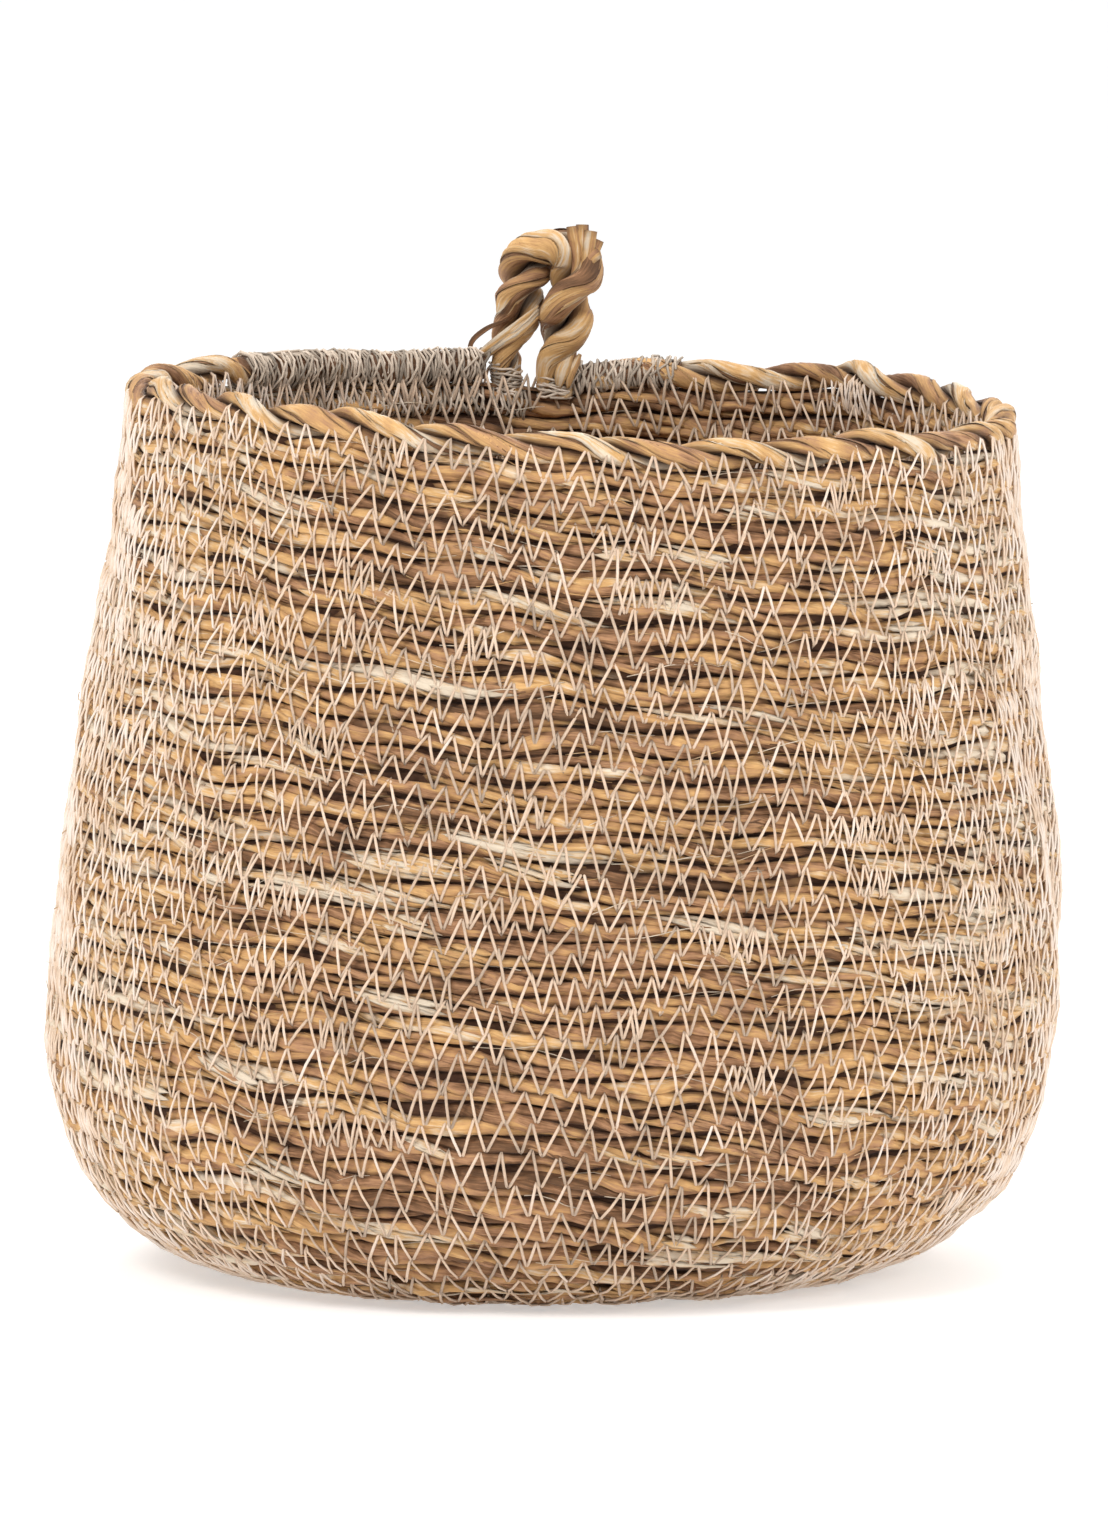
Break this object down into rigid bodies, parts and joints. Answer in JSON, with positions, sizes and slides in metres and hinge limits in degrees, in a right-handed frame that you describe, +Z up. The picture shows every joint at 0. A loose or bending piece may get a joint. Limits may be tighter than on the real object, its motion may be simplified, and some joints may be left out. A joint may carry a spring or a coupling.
{
  "type": "coiled storage basket",
  "caption": "Round coiled grass-rope storage basket with a flat base, rounded belly, open top, twisted rim and a small twisted hanging loop on the back.",
  "frame": {"origin": "on the floor under the middle of the belly, at the bottom centre of the basket's box", "axes": "+Z up, out of the open top; -Y is the front; the hanging loop stands on the back rim at +Y; +X is to the right seen from the front"},
  "size_m": [0.3178, 0.3176, 0.3193],
  "materials": {
    "grass_rope": "dry matt grass stems, golden tan to brown, zigzag stitched with off-white thread",
    "leaf_strand": "smooth folded leaf, golden tan, slightly glossy",
    "pale_strand": "pale dry husk, cream to straw, matt",
    "wrapping_thread": "matt greyish cream sewing thread, closely wrapped"
  },
  "bodies": {
    "basket": {"base_coil_01": "grass_rope", "base_coil_02": "grass_rope", "base_coil_03": "grass_rope", "wall_turn_01": "grass_rope", "wall_turn_02": "grass_rope", "wall_turn_03": "grass_rope", "wall_turn_04": "grass_rope", "wall_turn_05": "grass_rope", "wall_turn_06": "grass_rope", "wall_turn_07": "grass_rope", "wall_turn_08": "grass_rope", "wall_turn_09": "grass_rope", "wall_turn_10": "grass_rope", "wall_turn_11": "grass_rope", "wall_turn_12": "grass_rope", "wall_turn_13": "grass_rope", "wall_turn_14": "grass_rope", "wall_turn_15": "grass_rope", "wall_turn_16": "grass_rope", "wall_turn_17": "grass_rope", "wall_turn_18": "grass_rope", "wall_turn_19": "grass_rope", "wall_turn_20": "grass_rope", "wall_turn_21": "grass_rope", "wall_turn_22": "grass_rope", "wall_turn_23": "grass_rope", "wall_turn_24": "grass_rope", "wall_turn_25": "grass_rope", "wall_turn_26": "grass_rope", "wall_turn_27": "grass_rope", "wall_turn_28": "grass_rope", "wall_turn_29": "grass_rope", "wall_turn_30": "grass_rope", "wall_turn_31": "grass_rope", "wall_turn_32": "grass_rope", "wall_turn_33": "grass_rope", "rim_strand_leaf": "leaf_strand", "rim_strand_pale": "pale_strand", "rim_end_wrap": "wrapping_thread", "rim_start_wrap": "wrapping_thread"},
    "hanging_loop": {"loop_strand_leaf": "leaf_strand", "loop_strand_pale": "pale_strand", "loop_root_left": "wrapping_thread", "loop_root_right": "wrapping_thread", "loop_tail_01": "leaf_strand", "loop_tail_02": "leaf_strand"}
  },
  "joints": [
    {"name": "loop_fold", "type": "hinge", "parent": "basket", "child": "hanging_loop", "pos_m": [-0.0075, 0.1347, 0.276], "axis": [1, 0, 0], "range_deg": [-70, 70], "stiffness_Nm_per_rad": 0.03}
  ]
}
